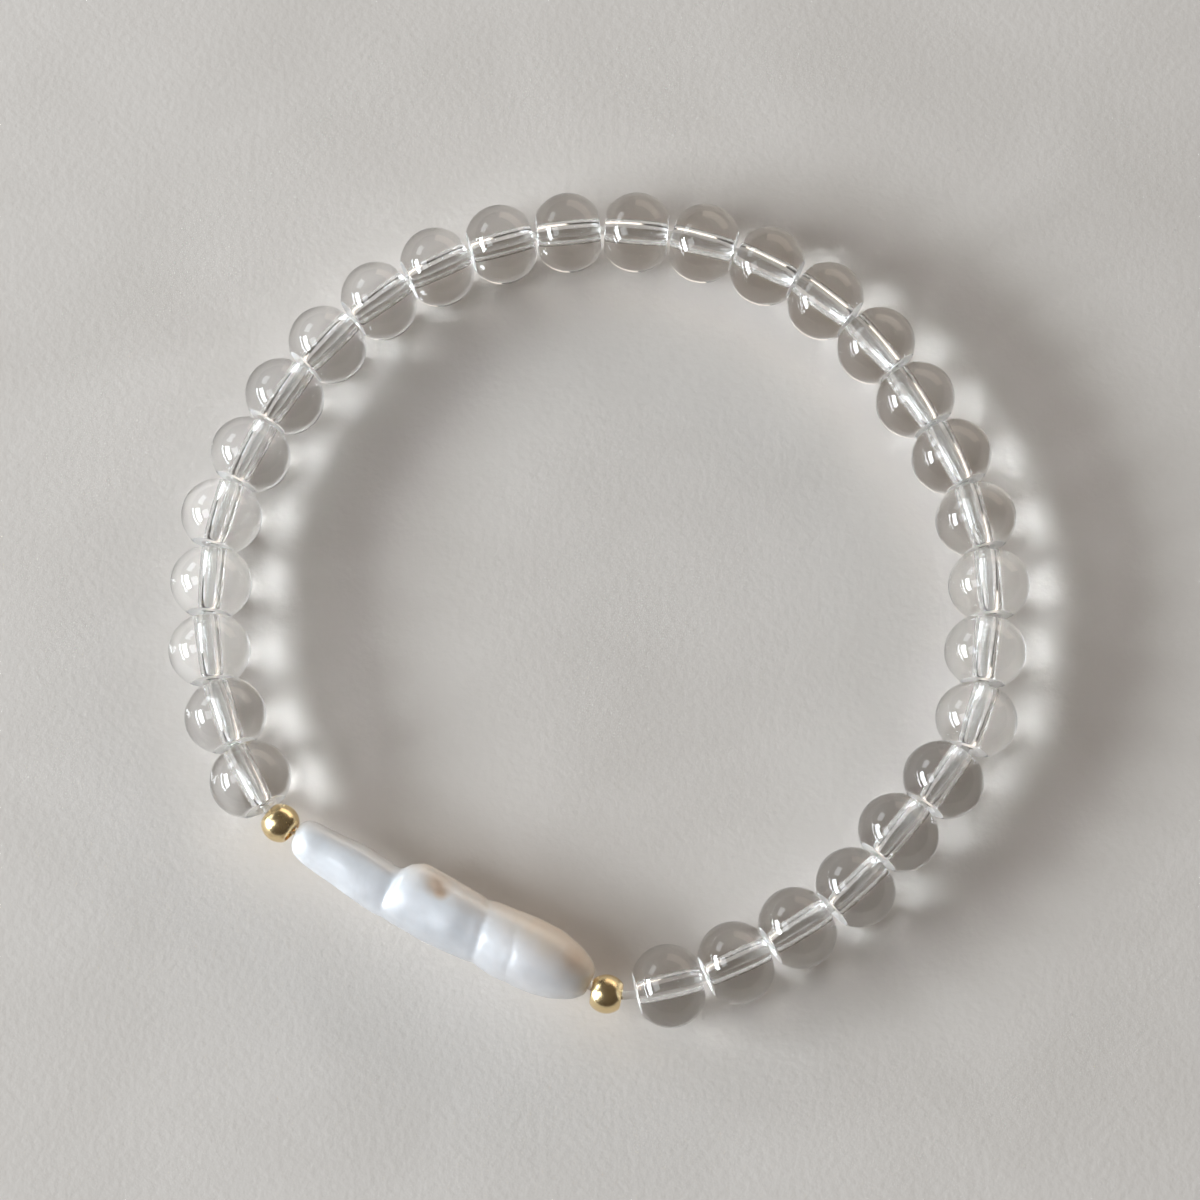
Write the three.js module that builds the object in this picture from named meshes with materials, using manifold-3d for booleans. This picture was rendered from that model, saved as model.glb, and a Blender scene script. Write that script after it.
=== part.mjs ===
// A stretch bracelet: clear round beads, two small gold beads and one baroque stick pearl,
// strung on a closed loop of elastic. It lies flat on the plane z = 0, with the middle of the
// loop on the Z axis. Units are millimetres, +Z is up, and the pearl lies towards -Y.

import * as THREE from 'three';
import { mergeVertices } from 'three/addons/utils/BufferGeometryUtils.js';
import Module from 'manifold-3d';

// ---------------------------------------------------------------- driving dimensions

// Clear beads: round beads with a broad flat ground at each end of the bore.
const BEAD_COUNT = 29;
const BEAD_DIAMETER = 6.0;
const BEAD_LENGTH = 4.7; // along the bore
const BEAD_END_DIAMETER = 3.2; // flat at each end
const BEAD_BORE = 1.2;
const BEAD_PITCH = 5.1; // centre to centre
const BEAD_SIDES = 16;
const BEAD_RINGS = 5; // bands of facets from end to end

// Gold beads.
const GOLD_DIAMETER = 2.8;
const GOLD_LENGTH = 2.2; // along the bore
const GOLD_END_DIAMETER = 1.74;
const GOLD_BORE = 1.4;
const GOLD_SIDES = 12;
const GOLD_RINGS = 5;

// Stick pearl: drilled lengthwise, on the straight line between the two gold beads.
const PEARL_SPAN = 26.6; // gold bead centre to gold bead centre
const PEARL_BORE = 1.0;
const PEARL_SIDES = 16;

// Sections of the pearl. "along" is counted from the middle of the left gold bead, and the
// other four are the reach of the skin from the bore's axis: towards the middle of the loop,
// away from it, up and down.
const PEARL_SECTIONS = [
  { along: 1.5, inner: 0.85, outer: 1.05, up: 0.85, down: 0.85 },
  { along: 1.9, inner: 1.15, outer: 1.5, up: 1.15, down: 1.15 },
  { along: 2.8, inner: 1.28, outer: 1.84, up: 1.4, down: 1.4 },
  { along: 4.6, inner: 1.34, outer: 2.08, up: 1.55, down: 1.5 },
  { along: 6.2, inner: 1.46, outer: 2.32, up: 1.65, down: 1.6 },
  { along: 7.9, inner: 1.32, outer: 2.56, up: 1.7, down: 1.65 },
  { along: 9.3, inner: 1.22, outer: 2.67, up: 1.65, down: 1.65 },
  { along: 10.1, inner: 1.82, outer: 2.66, up: 1.95, down: 1.75 },
  { along: 11.2, inner: 2.31, outer: 2.7, up: 2.25, down: 1.95 },
  { along: 12.9, inner: 2.24, outer: 2.78, up: 2.3, down: 2.05 },
  { along: 14.4, inner: 2.21, outer: 2.76, up: 2.25, down: 2.05 },
  { along: 15.9, inner: 2.1, outer: 2.6, up: 2.05, down: 1.95 },
  { along: 17.3, inner: 2.33, outer: 2.56, up: 2.2, down: 2.1 },
  { along: 18.7, inner: 2.47, outer: 2.66, up: 2.3, down: 2.2 },
  { along: 20.2, inner: 2.59, outer: 2.63, up: 2.35, down: 2.2 },
  { along: 21.6, inner: 2.57, outer: 2.5, up: 2.25, down: 2.1 },
  { along: 22.9, inner: 2.35, outer: 2.24, up: 2.05, down: 1.9 },
  { along: 24.0, inner: 1.98, outer: 1.76, up: 1.7, down: 1.6 },
  { along: 24.7, inner: 1.6, outer: 1.33, up: 1.35, down: 1.25 },
  { along: 25.1, inner: 1.15, outer: 0.9, up: 0.95, down: 0.9 },
];

// Elastic, with its knot drawn into the left gold bead.
const THREAD_DIAMETER = 0.6;
const THREAD_SIDES = 6;
const THREAD_STEPS = 104;
const THREAD_ENDS_APART = 0.3; // the two ends stop this far apart inside the knot
const PEARL_BORE_SHARES = [0.06, 0.12, 0.3, 0.5, 0.7, 0.88, 0.94]; // of the pearl's span
const KNOT_DIAMETER = 0.96;
const KNOT_LENGTH = 1.2;

// Laid-out loop. Its mean radius follows from the beads, and it lies a little out of round.
const RIGHT_GOLD_AZIMUTH = 271.0; // degrees, anticlockwise from +X seen from above
const RIGHT_GOLD_SPACING = 4.5; // gold bead to the first clear bead, centre to centre
const LEFT_GOLD_SPACING = 3.95; // last clear bead to the other gold bead
const LOOP_WAVES = [
  { lobes: 2, height: 0.2, crest: 69 },
  { lobes: 4, height: 0.25, crest: 0 },
  { lobes: 5, height: 0.21, crest: -16 },
];
// Beads that lie a little off the smooth loop, counted from the right gold bead.
const STRAY_BEADS = [
  { bead: 4, outward: 0.25 },
  { bead: 5, outward: -0.35 },
  { bead: 7, outward: 0.25 },
  { bead: 8, outward: -0.25 },
  { bead: 12, outward: -0.25 },
  { bead: 25, outward: 0.3 },
  { bead: 28, outward: -0.2 },
];

const AXIS_HEIGHT = BEAD_DIAMETER / 2; // the clear beads rest on z = 0
const DEGREE = Math.PI / 180;

const wasm = await Module();
wasm.setup();

// ---------------------------------------------------------------- materials

const FINISHES = {
  crystal: { color: 0xe6e6e2, roughness: 0.04, metalness: 0.0 },
  gold: { color: 0xd8a64a, roughness: 0.15, metalness: 1.0 },
  pearl: { color: 0xeeeaea, roughness: 0.28, metalness: 0.0 },
  elastic: { color: 0xdedcd6, roughness: 0.35, metalness: 0.0 },
};

function addMesh(group, name, geometry, finish) {
  const mesh = new THREE.Mesh(geometry, new THREE.MeshStandardMaterial(FINISHES[finish]));
  mesh.name = name;
  group.add(mesh);
  return mesh;
}

// ---------------------------------------------------------------- layout of the loop

// Radius of the beads' centre line at an azimuth, for a given mean radius.
function centreLineRadius(azimuth, meanRadius) {
  let radius = meanRadius;
  for (const wave of LOOP_WAVES) {
    radius += wave.height * Math.cos(wave.lobes * (azimuth - wave.crest * DEGREE));
  }
  return radius;
}

function onCentreLine(azimuth, meanRadius) {
  const radius = centreLineRadius(azimuth, meanRadius);
  return new THREE.Vector3(radius * Math.cos(azimuth), radius * Math.sin(azimuth), AXIS_HEIGHT);
}

// Root of a rising function between two limits.
const HALVINGS = 50;
function solveRising(f, low, high) {
  for (let round = 0; round < HALVINGS; round += 1) {
    const middle = (low + high) / 2;
    if (f(middle) > 0) {
      high = middle;
    } else {
      low = middle;
    }
  }
  return (low + high) / 2;
}

// Azimuth of the next piece, a straight distance further round than the last one.
function stepRound(azimuth, spacing, meanRadius) {
  const from = onCentreLine(azimuth, meanRadius);
  const farthest = azimuth + Math.PI / 2;
  return solveRising(
    (next) => onCentreLine(next, meanRadius).distanceTo(from) - spacing,
    azimuth,
    farthest,
  );
}

// Azimuths of the right gold bead, the clear beads and the left gold bead, in that order.
function walkRound(meanRadius) {
  const azimuths = [RIGHT_GOLD_AZIMUTH * DEGREE];
  for (let bead = 0; bead <= BEAD_COUNT; bead += 1) {
    let spacing = BEAD_PITCH;
    if (bead === 0) {
      spacing = RIGHT_GOLD_SPACING;
    } else if (bead === BEAD_COUNT) {
      spacing = LEFT_GOLD_SPACING;
    }
    azimuths.push(stepRound(azimuths[azimuths.length - 1], spacing, meanRadius));
  }
  return azimuths;
}

// The loop closes where the straight gap left between the gold beads is the pearl's span.
function gapLeft(meanRadius) {
  const azimuths = walkRound(meanRadius);
  const start = onCentreLine(azimuths[0], meanRadius);
  const end = onCentreLine(azimuths[azimuths.length - 1], meanRadius);
  return start.distanceTo(end) - PEARL_SPAN;
}

const RADIUS_SEARCH = { low: 0.97, high: 1.05 }; // shares of the rough radius
const beadsLength = BEAD_PITCH * (BEAD_COUNT - 1) + RIGHT_GOLD_SPACING + LEFT_GOLD_SPACING;
const roughRadius = (beadsLength + PEARL_SPAN) / (2 * Math.PI);
const meanRadius = solveRising(
  gapLeft,
  roughRadius * RADIUS_SEARCH.low,
  roughRadius * RADIUS_SEARCH.high,
);

// Places in stringing order: right gold bead, clear beads 1 to 29, left gold bead.
const stringPlaces = walkRound(meanRadius).map((azimuth, index) => {
  const place = onCentreLine(azimuth, meanRadius);
  const stray = STRAY_BEADS.find((row) => row.bead === index);
  if (stray) {
    place.x += stray.outward * Math.cos(azimuth);
    place.y += stray.outward * Math.sin(azimuth);
  }
  return place;
});
const rightGoldPlace = stringPlaces[0];
const leftGoldPlace = stringPlaces[stringPlaces.length - 1];

// Direction of travel between two places, as an angle about +Z.
function headingBetween(from, to) {
  return Math.atan2(to.y - from.y, to.x - from.x);
}

function unitAlong(heading) {
  return new THREE.Vector3(Math.cos(heading), Math.sin(heading), 0);
}

// Heading half-way between two directions of travel.
function meanHeading(one, other) {
  const sum = unitAlong(one).add(unitAlong(other));
  return Math.atan2(sum.y, sum.x);
}

const pearlHeading = headingBetween(leftGoldPlace, rightGoldPlace);

// Every strung bead with its place, its heading and half its length along the bore.
const strungBeads = stringPlaces.map((place, index) => {
  const isRightGold = index === 0;
  const isLeftGold = index === stringPlaces.length - 1;
  const arriving = isRightGold ? pearlHeading : headingBetween(stringPlaces[index - 1], place);
  const leaving = isLeftGold ? pearlHeading : headingBetween(place, stringPlaces[index + 1]);
  const halfLength = (isRightGold || isLeftGold ? GOLD_LENGTH : BEAD_LENGTH) / 2;
  return { place, heading: meanHeading(arriving, leaving), halfLength };
});
const rightGold = strungBeads[0];
const leftGold = strungBeads[strungBeads.length - 1];

// A piece's bore lies along its local +Y, so it turns by its heading less a right angle.
function stringOn(mesh, place, heading) {
  mesh.position.copy(place);
  mesh.rotation.z = heading - Math.PI / 2;
}

// ---------------------------------------------------------------- clear and gold beads

// A drilled ball. Its facets stand outside the true curve by half a step, and the middle band
// is straight along the bore, so one facet of that band is a flat rest when it faces down.
function drilledBall(diameter, length, endDiameter, bore, sides, rings) {
  const endTurn = Math.acos(endDiameter / diameter);
  const halfStep = endTurn / rings;
  const halfAxis = length / 2 / Math.sin(endTurn);
  const cornerRadius = diameter / 2 / Math.cos(Math.PI / sides);
  const profile = [];
  for (let ring = 0; ring <= rings; ring += 1) {
    const turn = -endTurn + ring * halfStep * 2;
    const radius = (cornerRadius * Math.cos(turn)) / Math.cos(halfStep);
    profile.push(new THREE.Vector2(radius, halfAxis * Math.sin(turn)));
  }
  profile.push(new THREE.Vector2(bore / 2, length / 2));
  profile.push(new THREE.Vector2(bore / 2, -length / 2));
  profile.push(profile[0].clone());
  // turned by half a side, so that a flat and not an edge faces down
  return new THREE.LatheGeometry(profile, sides, Math.PI / sides);
}

function addClearBeads(group) {
  for (let bead = 1; bead <= BEAD_COUNT; bead += 1) {
    const name = `crystal_bead_${String(bead).padStart(2, '0')}`;
    const geometry = drilledBall(
      BEAD_DIAMETER,
      BEAD_LENGTH,
      BEAD_END_DIAMETER,
      BEAD_BORE,
      BEAD_SIDES,
      BEAD_RINGS,
    );
    const mesh = addMesh(group, name, geometry, 'crystal');
    stringOn(mesh, strungBeads[bead].place, strungBeads[bead].heading);
  }
}

function addGoldBead(group, name, bead) {
  const geometry = drilledBall(
    GOLD_DIAMETER,
    GOLD_LENGTH,
    GOLD_END_DIAMETER,
    GOLD_BORE,
    GOLD_SIDES,
    GOLD_RINGS,
  );
  const mesh = addMesh(group, name, geometry, 'gold');
  stringOn(mesh, bead.place, bead.heading);
}

// ---------------------------------------------------------------- stick pearl

// A lathed tube of unit radius whose skin is then pulled out to each section's four reaches.
function stickPearl() {
  const rows = PEARL_SECTIONS;
  const first = rows[0].along;
  const last = rows[rows.length - 1].along;
  const profile = rows.map((row) => new THREE.Vector2(1, row.along));
  profile.push(new THREE.Vector2(PEARL_BORE / 2, last));
  profile.push(new THREE.Vector2(PEARL_BORE / 2, first));
  profile.push(profile[0].clone());
  const geometry = new THREE.LatheGeometry(profile, PEARL_SIDES);
  const points = geometry.attributes.position;
  for (let index = 0; index < points.count; index += 1) {
    const station = index % profile.length;
    const row = station === profile.length - 1 ? rows[0] : rows[station];
    if (row) {
      const outward = points.getX(index);
      const upward = points.getZ(index);
      points.setX(index, outward * (outward > 0 ? row.outer : row.inner));
      points.setZ(index, upward * (upward > 0 ? row.up : row.down));
    }
  }
  return geometry;
}

function addPearl(group) {
  const mesh = addMesh(group, 'stick_pearl', stickPearl(), 'pearl');
  stringOn(mesh, leftGoldPlace, pearlHeading);
}

// ---------------------------------------------------------------- elastic

function toManifold(geometry) {
  const bare = geometry.clone();
  bare.deleteAttribute('normal');
  bare.deleteAttribute('uv');
  const merged = mergeVertices(bare);
  return new wasm.Manifold(new wasm.Mesh({
    numProp: 3,
    vertProperties: new Float32Array(merged.attributes.position.array),
    triVerts: new Uint32Array(merged.index.array),
  }));
}

function fromManifold(solid) {
  const mesh = solid.getMesh();
  const geometry = new THREE.BufferGeometry();
  geometry.setAttribute('position', new THREE.BufferAttribute(mesh.vertProperties, 3));
  geometry.setIndex(new THREE.BufferAttribute(mesh.triVerts, 1));
  return geometry;
}

function regularSection(diameter, sides) {
  const corners = [];
  for (let side = 0; side < sides; side += 1) {
    const turn = (side * 2 * Math.PI) / sides;
    corners.push(new THREE.Vector2((diameter / 2) * Math.cos(turn), (diameter / 2) * Math.sin(turn)));
  }
  return new THREE.Shape(corners);
}

// Middle of the open gap between the facing ends of two neighbouring beads.
function gapMiddle(bead, next) {
  const leaving = bead.place.clone().addScaledVector(unitAlong(bead.heading), bead.halfLength);
  const entering = next.place.clone().addScaledVector(unitAlong(next.heading), -next.halfLength);
  return leaving.lerp(entering, 0.5);
}

// The route runs from the knot through the pearl, the right gold bead and every clear bead,
// and back to the knot. It bends in the gaps, and lies nearly straight in each bore.
function threadRoute() {
  const along = unitAlong(leftGold.heading);
  const points = [leftGoldPlace.clone().addScaledVector(along, THREAD_ENDS_APART / 2)];
  for (const share of PEARL_BORE_SHARES) {
    points.push(leftGoldPlace.clone().lerp(rightGoldPlace, share));
  }
  for (let index = 0; index <= BEAD_COUNT; index += 1) {
    points.push(strungBeads[index].place.clone());
    points.push(gapMiddle(strungBeads[index], strungBeads[index + 1]));
  }
  points.push(leftGoldPlace.clone().addScaledVector(along, -THREAD_ENDS_APART / 2));
  return new THREE.CatmullRomCurve3(points, false, 'centripetal');
}

function addThread(group) {
  const tube = new THREE.ExtrudeGeometry(regularSection(THREAD_DIAMETER, THREAD_SIDES), {
    steps: THREAD_STEPS,
    bevelEnabled: false,
    extrudePath: threadRoute(),
  });
  const knotProfile = [
    new THREE.Vector2(0, -KNOT_LENGTH / 2),
    new THREE.Vector2(KNOT_DIAMETER / 2, -KNOT_LENGTH / 4),
    new THREE.Vector2(KNOT_DIAMETER / 2, KNOT_LENGTH / 4),
    new THREE.Vector2(0, KNOT_LENGTH / 2),
  ];
  const knot = new THREE.LatheGeometry(knotProfile, THREAD_SIDES * 2);
  knot.rotateZ(leftGold.heading - Math.PI / 2);
  knot.translate(leftGoldPlace.x, leftGoldPlace.y, leftGoldPlace.z);
  const joined = toManifold(tube).add(toManifold(knot));
  addMesh(group, 'elastic_thread', fromManifold(joined), 'elastic');
}

// ---------------------------------------------------------------- assembly

const strung = new THREE.Group();
addClearBeads(strung);
addGoldBead(strung, 'gold_bead_left', leftGold);
addGoldBead(strung, 'gold_bead_right', rightGold);
addPearl(strung);
addThread(strung);

// The middle of the whole bracelet goes onto the Z axis.
const reach = new THREE.Box3().setFromObject(strung, true);
const middle = reach.getCenter(new THREE.Vector3());
strung.position.set(-middle.x, -middle.y, 0);

const bracelet = new THREE.Group();
bracelet.name = 'beaded_bracelet';
bracelet.add(strung);

export default bracelet;
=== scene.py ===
"""A beaded stretch bracelet: clear round beads, two small gold beads and a baroque stick pearl
on a closed loop of clear elastic. Each piece is made here at full finish and stands for the
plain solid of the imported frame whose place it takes. Lengths are metres, +Z is up."""

import math
import random
from collections import namedtuple

import bmesh
import bpy
from bpy.props import FloatProperty, FloatVectorProperty, PointerProperty
from mathutils import Matrix, Vector, noise


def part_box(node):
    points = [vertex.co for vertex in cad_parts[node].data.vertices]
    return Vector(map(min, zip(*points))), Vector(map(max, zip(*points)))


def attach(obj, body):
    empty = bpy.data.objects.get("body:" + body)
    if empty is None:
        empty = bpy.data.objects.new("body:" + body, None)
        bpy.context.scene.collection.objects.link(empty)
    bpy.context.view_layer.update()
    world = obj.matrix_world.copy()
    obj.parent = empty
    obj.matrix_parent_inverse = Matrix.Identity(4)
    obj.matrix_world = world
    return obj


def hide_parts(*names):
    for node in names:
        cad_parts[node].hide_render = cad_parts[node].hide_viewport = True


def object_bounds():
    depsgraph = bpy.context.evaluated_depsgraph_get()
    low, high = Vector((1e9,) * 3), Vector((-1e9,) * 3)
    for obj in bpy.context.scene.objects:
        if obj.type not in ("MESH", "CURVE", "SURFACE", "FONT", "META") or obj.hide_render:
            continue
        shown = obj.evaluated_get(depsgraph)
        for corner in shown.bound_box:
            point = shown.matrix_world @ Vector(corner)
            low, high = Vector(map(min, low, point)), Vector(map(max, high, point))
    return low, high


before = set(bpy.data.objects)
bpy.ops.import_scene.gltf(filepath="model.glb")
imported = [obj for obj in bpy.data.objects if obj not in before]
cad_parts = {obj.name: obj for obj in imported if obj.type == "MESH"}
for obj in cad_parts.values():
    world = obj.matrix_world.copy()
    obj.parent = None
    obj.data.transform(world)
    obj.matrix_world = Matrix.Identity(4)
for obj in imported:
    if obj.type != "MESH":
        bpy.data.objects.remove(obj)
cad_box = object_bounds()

bl_info = {
    "name": "Beaded Stretch Bracelet",
    "version": (1, 0, 0),
    "blender": (4, 5, 0),
    "location": "3D View > Sidebar > Bracelet",
    "description": "Makes the beads, pearl and elastic of a stretch bracelet, and a small studio",
    "category": "Add Mesh",
}

MM = 0.001
BODY = "root"


# ------------------------------------------------------------------ sizes and colours


def size_property(name, description, millimetres):
    """A length that a user would change."""
    return FloatProperty(
        name=name,
        description=description,
        default=millimetres * MM,
        min=0.0,
        precision=5,
        subtype="DISTANCE",
        unit="LENGTH",
    )


def colour_property(name, description, colour):
    """A linear colour that a user would change."""
    return FloatVectorProperty(
        name=name,
        description=description,
        default=colour,
        min=0.0,
        max=1.0,
        size=3,
        subtype="COLOR",
    )


def share_property(name, description, default, top=1.0):
    """A number without a unit, from nothing up to a top value."""
    return FloatProperty(name=name, description=description, default=default, min=0.0, max=top)


def angle_property(name, description, degrees):
    """An angle that a user would change."""
    return FloatProperty(
        name=name,
        description=description,
        default=math.radians(degrees),
        subtype="ANGLE",
        unit="ROTATION",
    )


class ClearBeadSettings(bpy.types.PropertyGroup):
    """Sizes and finish of the clear beads"""

    diameter: size_property("Diameter", "Across the bead, square to its bore", 6.0)
    length: size_property("Length", "From flat to flat, along the bore", 4.7)
    end_diameter: size_property("End flat", "Across the ground flat at each end", 3.2)
    bore: size_property("Bore", "Diameter of the drilled hole", 1.2)
    edge_rounding: size_property("Edge rounding", "Softening where skin meets flat", 0.22)
    mouth_bevel: size_property("Mouth bevel", "Ground bevel at the mouth of the bore", 0.24)
    unevenness: size_property("Unevenness", "How far the polish wanders off a true ball", 0.012)
    tint: colour_property("Tint", "Body colour of the crystal", (0.985, 0.985, 0.98))
    veil: colour_property("Veil", "Colour of the crystal's faint clouding", (0.95, 0.955, 0.96))
    refraction: FloatProperty(
        name="Refraction", description="Refractive index of the crystal", default=1.54, min=1.0
    )
    frost: share_property("Drill frost", "Roughness of the drilled wall", 0.05)


class GoldBeadSettings(bpy.types.PropertyGroup):
    """Sizes and finish of the two gold beads"""

    diameter: size_property("Diameter", "Across the bead, square to its bore", 2.8)
    length: size_property("Length", "From lip to lip, along the bore", 2.2)
    end_diameter: size_property("Lip", "Across the rolled lip at each end", 1.74)
    bore: size_property("Bore", "Diameter of the hole", 1.4)
    colour: colour_property("Gold", "Colour of the polished metal", (0.90, 0.71, 0.40))
    tarnish: colour_property("Tarnish", "Colour where the polish has dulled", (0.62, 0.45, 0.23))


class PearlSettings(bpy.types.PropertyGroup):
    """Finish of the stick pearl, whose shape is in its table of sections"""

    bore: size_property("Bore", "Diameter of the lengthwise hole", 1.0)
    relief: size_property("Relief", "Height of the small swells in the skin", 0.03)
    body: colour_property("Body", "Colour of the nacre on top", (0.80, 0.82, 0.85))
    # Painted shade: the outer side gets this darker colour to hold down the light that falls on
    # it.
    shade: colour_property("Cool shade", "Colour of the nacre's outer side", (0.52, 0.525, 0.535))
    # Painted light: the inner side, which gets less light, is given this lighter colour; its warm
    # tint is the nacre's own.
    cream_and_painted_light: colour_property("Cream", "Colour where the nacre turns inward", (0.92, 0.90, 0.88))
    # The warm pink along the inner edge is partly the nacre's own tint and partly a painted warm
    # reflection on the side away from the light.
    blush_and_painted_reflection: colour_property("Blush", "Warm colour along the inner side", (0.93, 0.76, 0.64))
    # The warm brown on the right end's inner half is partly the nacre's tint and partly painted
    # warm shade, kept light so that end does not look dark.
    tan: colour_property("Tan", "Second warm colour, strongest at the end", (0.88, 0.73, 0.60))
    # Brown of the bare spots on the knob, also laid on a patch at the right end's inner side.
    pit: colour_property("Pit", "Colour of the bare spots in the nacre", (0.52, 0.39, 0.28))


class ElasticSettings(bpy.types.PropertyGroup):
    """Size and finish of the elastic"""

    diameter: size_property("Diameter", "Thickness of the elastic", 0.6)
    knot_diameter: size_property("Knot", "Thickness of the knot drawn into a gold bead", 0.96)
    knot_length: size_property("Knot length", "Length of the knot", 1.2)
    colour: colour_property("Colour", "Colour of the clear elastic", (0.93, 0.93, 0.91))


class StageSettings(bpy.types.PropertyGroup):
    """Floor, soft studio light and camera"""

    floor_colour: colour_property("Floor", "Colour of the floor", (0.735, 0.69, 0.64))
    floor_mottle: colour_property("Mottle", "Second colour of the floor", (0.69, 0.645, 0.595))
    light_share: FloatProperty(
        name="Light", description="Strength of all the soft lights together", default=1, min=0
    )
    room_bright: colour_property("Room, bright side", "Light from above", (0.12, 0.105, 0.09))
    room_dim: colour_property("Room, dim side", "Light from low down", (0.05, 0.04, 0.032))
    camera_elevation: angle_property("Camera elevation", "How steeply it looks down", 75)
    camera_distance: size_property("Camera distance", "From the bracelet's middle", 300)
    lens: FloatProperty(
        name="Lens", description="Focal length in millimetres", default=123, unit="CAMERA"
    )


class BraceletSettings(bpy.types.PropertyGroup):
    """Everything that a user would change"""

    beads: PointerProperty(type=ClearBeadSettings)
    gold: PointerProperty(type=GoldBeadSettings)
    pearl: PointerProperty(type=PearlSettings)
    elastic: PointerProperty(type=ElasticSettings)
    stage: PointerProperty(type=StageSettings)


def settings():
    """The sizes and colours as the user has set them."""
    return bpy.context.scene.bracelet


# ------------------------------------------------------------------ places on the string

Place = namedtuple("Place", "node middle heading")
LEFT_GOLD = "gold_bead_left"
RIGHT_GOLD = "gold_bead_right"
PEARL = "stick_pearl"
ELASTIC = "elastic_thread"
CLEAR_BEADS = sorted(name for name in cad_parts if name.startswith("crystal_bead_"))


def node_middle(node):
    """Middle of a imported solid."""
    low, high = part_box(node)
    return (low + high) / 2


def heading_between(start, end):
    """Angle on the floor of the way from one point to another, anticlockwise from the right."""
    return math.atan2(end.y - start.y, end.x - start.x)


def unit_along(heading):
    """Level step of length one in a heading."""
    return Vector((math.cos(heading), math.sin(heading), 0))


def string_places():
    """Right gold bead, clear beads in order, left gold bead: each with the way its bore points,
    half-way between the directions in which the string comes and goes."""
    if not CLEAR_BEADS:
        raise RuntimeError("The frame holds no clear beads")
    nodes = [RIGHT_GOLD, *CLEAR_BEADS, LEFT_GOLD]
    middles = [node_middle(node) for node in nodes]
    pearl_heading = heading_between(middles[-1], middles[0])
    places = []
    for index, node in enumerate(nodes):
        arriving = leaving = pearl_heading
        if index > 0:
            arriving = heading_between(middles[index - 1], middles[index])
        if index < len(nodes) - 1:
            leaving = heading_between(middles[index], middles[index + 1])
        mean = unit_along(arriving) + unit_along(leaving)
        places.append(Place(node, middles[index], math.atan2(mean.y, mean.x)))
    return places


def strung_at(middle, heading):
    """Puts a piece whose bore is local +Y on the string, with local +X outward from the loop."""
    turn = Matrix.Rotation(heading - math.pi / 2, 4, "Z")
    return Matrix.Translation(middle) @ turn


# ------------------------------------------------------------------ mesh


def closed_skin(name, rings, place, finishes, band_finish=None):
    """A piece from rings of points, each joined to the next and the last to the first.
    band_finish gives the finish of the band after each ring, as a place in finishes."""
    mesh = bpy.data.meshes.new(name)
    work = bmesh.new()
    grid = [[work.verts.new(place @ point) for point in ring] for ring in rings]
    around = len(grid[0])
    for index, ring in enumerate(grid):
        following = grid[(index + 1) % len(grid)]
        for step in range(around):
            after = (step + 1) % around
            face = work.faces.new((ring[step], ring[after], following[after], following[step]))
            face.smooth = True
            if band_finish:
                face.material_index = band_finish[index]
    bmesh.ops.recalc_face_normals(work, faces=work.faces)
    work.to_mesh(mesh)
    work.free()
    piece = bpy.data.objects.new(name, mesh)
    bpy.context.scene.collection.objects.link(piece)
    for finish in finishes:
        mesh.materials.append(finish)
    return piece


def set_in_frame(piece, node):
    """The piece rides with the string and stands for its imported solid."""
    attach(piece, BODY)
    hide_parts(node)


def evenly(low, high, steps):
    """Numbers from low to high, both ends included."""
    return [low + (high - low) * step / steps for step in range(steps + 1)]


def rounded_corner(before, corner, after, steps):
    """Points of a soft corner, from one side of it to the other."""
    return [
        before * (1 - t) ** 2 + corner * 2 * t * (1 - t) + after * t**2
        for t in evenly(0, 1, steps)
    ]


SKIN, GROUND, DRILLED = 0, 1, 2
EDGE_STEPS = 6
MOUTH_STEPS = 4
FLAT_SHARES = (0.08, 0.5, 0.92)
WALL_SHARES = (0.04, 0.5)
MOUTH_FULLNESS = 0.12  # of the bevel, how far its middle stands out


def drilled_ball_outline(size, edge_rounding, mouth_bevel, arc_steps):
    """Outline of a drilled ball on one side of its bore, as points (radius, along) and the
    finish of the band after each. It goes up the skin, in over the end and back down the bore."""
    radius, half = size.diameter / 2, size.length / 2
    end, bore = size.end_diameter / 2, size.bore / 2
    end_turn = math.acos(end / radius)
    half_axis = half / math.sin(end_turn)
    arc_turn = end_turn - edge_rounding / radius
    upper = [
        Vector((radius * math.cos(turn), half_axis * math.sin(turn)))
        for turn in evenly(0, arc_turn, arc_steps)
    ]
    inner_edge = Vector((end - edge_rounding, half))
    upper += rounded_corner(upper[-1], Vector((end, half)), inner_edge, EDGE_STEPS)[1:]
    skin_count = len(upper) - EDGE_STEPS // 2

    mouth_edge = Vector((bore + mouth_bevel, half))
    upper += [inner_edge.lerp(mouth_edge, share) for share in FLAT_SHARES]
    mouth_depth = Vector((bore, half - mouth_bevel))
    fullness = Vector((-MOUTH_FULLNESS, MOUTH_FULLNESS)) * mouth_bevel
    mouth_corner = (mouth_edge + mouth_depth) / 2 + fullness
    upper += rounded_corner(mouth_edge, mouth_corner, mouth_depth, MOUTH_STEPS)
    ground_count = len(upper) - skin_count - 1

    upper += [mouth_depth.lerp(Vector((bore, 0)), share) for share in WALL_SHARES]
    finish = [SKIN] * skin_count + [GROUND] * ground_count
    finish += [DRILLED] * (len(upper) - len(finish))
    lower = [Vector((point.x, -point.y)) for point in reversed(upper)]
    outline = upper + [Vector((bore, 0))] + lower[:-1]
    bands = finish + [DRILLED] + list(reversed(finish))[1:]
    return outline, bands


def turned_ring(radius, along, sides, first_turn=0.0):
    """Points of a circle round the bore, which is local +Y."""
    ring = []
    for side in range(sides):
        turn = first_turn + side * math.tau / sides
        ring.append(Vector((radius * math.cos(turn), along, radius * math.sin(turn))))
    return ring


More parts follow.
